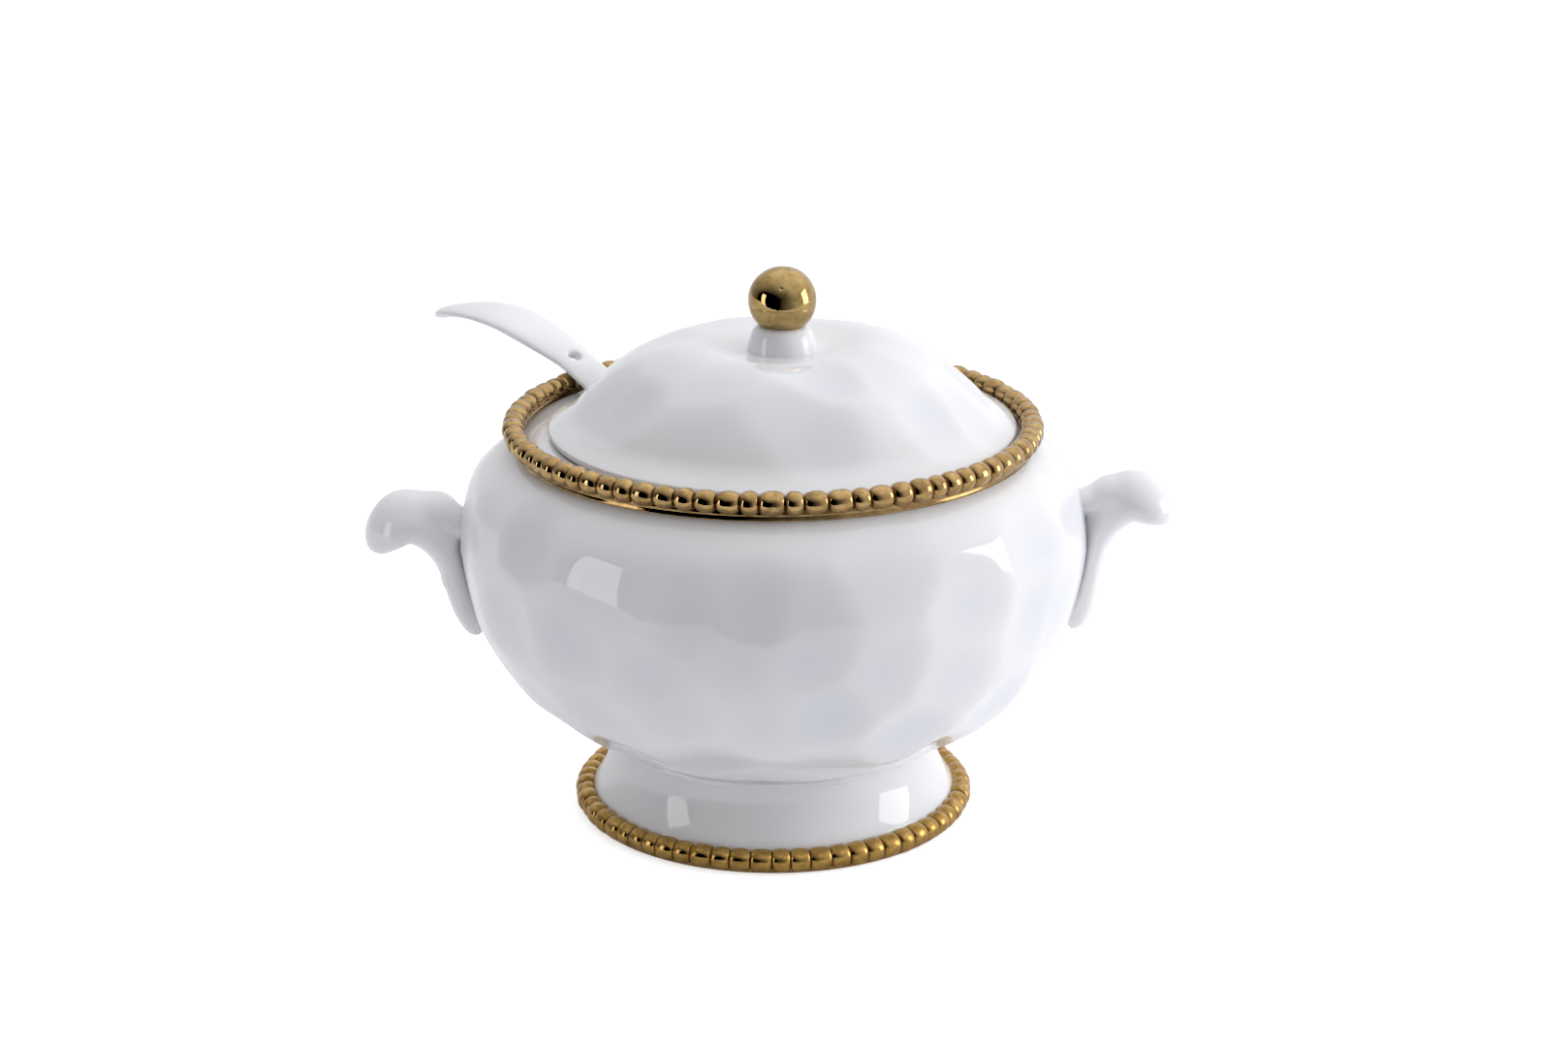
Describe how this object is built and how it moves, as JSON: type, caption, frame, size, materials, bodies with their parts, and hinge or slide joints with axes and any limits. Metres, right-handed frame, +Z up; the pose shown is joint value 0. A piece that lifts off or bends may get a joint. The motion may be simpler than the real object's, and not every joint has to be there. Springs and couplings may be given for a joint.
{
  "type": "soup tureen",
  "caption": "Footed round porcelain soup tureen with beaded gilt rim and foot, two lug handles, a domed lid with a ball knob, and a ladle.",
  "frame": {"origin": "on the bowl's axis, in the plane that the foot stands on", "axes": "+Z up along the bowl's axis; +X from the axis towards the right lug handle, so both handles lie on X; the ladle leans out at 143 degrees from +X towards +Y"},
  "size_m": [0.3448, 0.2706, 0.2406],
  "materials": {
    "bowl_shell": "clear glossy glaze on white porcelain",
    "lid_gallery": "clear glossy glaze on white porcelain",
    "rim_collar": "gold lustre fired over glazed porcelain, mirror bright",
    "rim_beads": "gold lustre fired over glazed porcelain, mirror bright",
    "pedestal_foot": "clear glossy glaze on white porcelain",
    "foot_band": "gold lustre fired over glazed porcelain, mirror bright",
    "foot_beads": "gold lustre fired over glazed porcelain, mirror bright",
    "right_handle": "clear glossy glaze on white porcelain",
    "left_handle": "clear glossy glaze on white porcelain",
    "lid_shell": "clear glossy glaze on white porcelain",
    "lid_flange": "clear glossy glaze on white porcelain",
    "knob_collar": "clear glossy glaze on white porcelain",
    "knob_ball": "gold lustre fired over glazed porcelain, mirror bright",
    "ladle_handle": "clear glossy glaze on white porcelain",
    "ladle_scoop": "clear glossy glaze on white porcelain"
  },
  "bodies": {
    "tureen": {"bowl_shell": "bowl_shell", "lid_gallery": "lid_gallery", "rim_collar": "rim_collar", "rim_beads": "rim_beads", "pedestal_foot": "pedestal_foot", "foot_band": "foot_band", "foot_beads": "foot_beads", "right_handle": "right_handle", "left_handle": "left_handle"},
    "lid": {"lid_shell": "lid_shell", "lid_flange": "lid_flange", "knob_collar": "knob_collar", "knob_ball": "knob_ball"},
    "ladle": {"ladle_handle": "ladle_handle", "ladle_scoop": "ladle_scoop"}
  },
  "joints": [
    {"name": "lid_lift", "type": "slide", "parent": "tureen", "child": "lid", "axis": [0, 0, 1], "range_m": [0, 0.12]},
    {"name": "ladle_draw", "type": "hinge", "parent": "tureen", "child": "ladle", "pos_m": [-0.15174, 0.11435, 0.0198], "axis": [-0.6018, -0.7986, 0], "range_deg": [0, 32]}
  ]
}
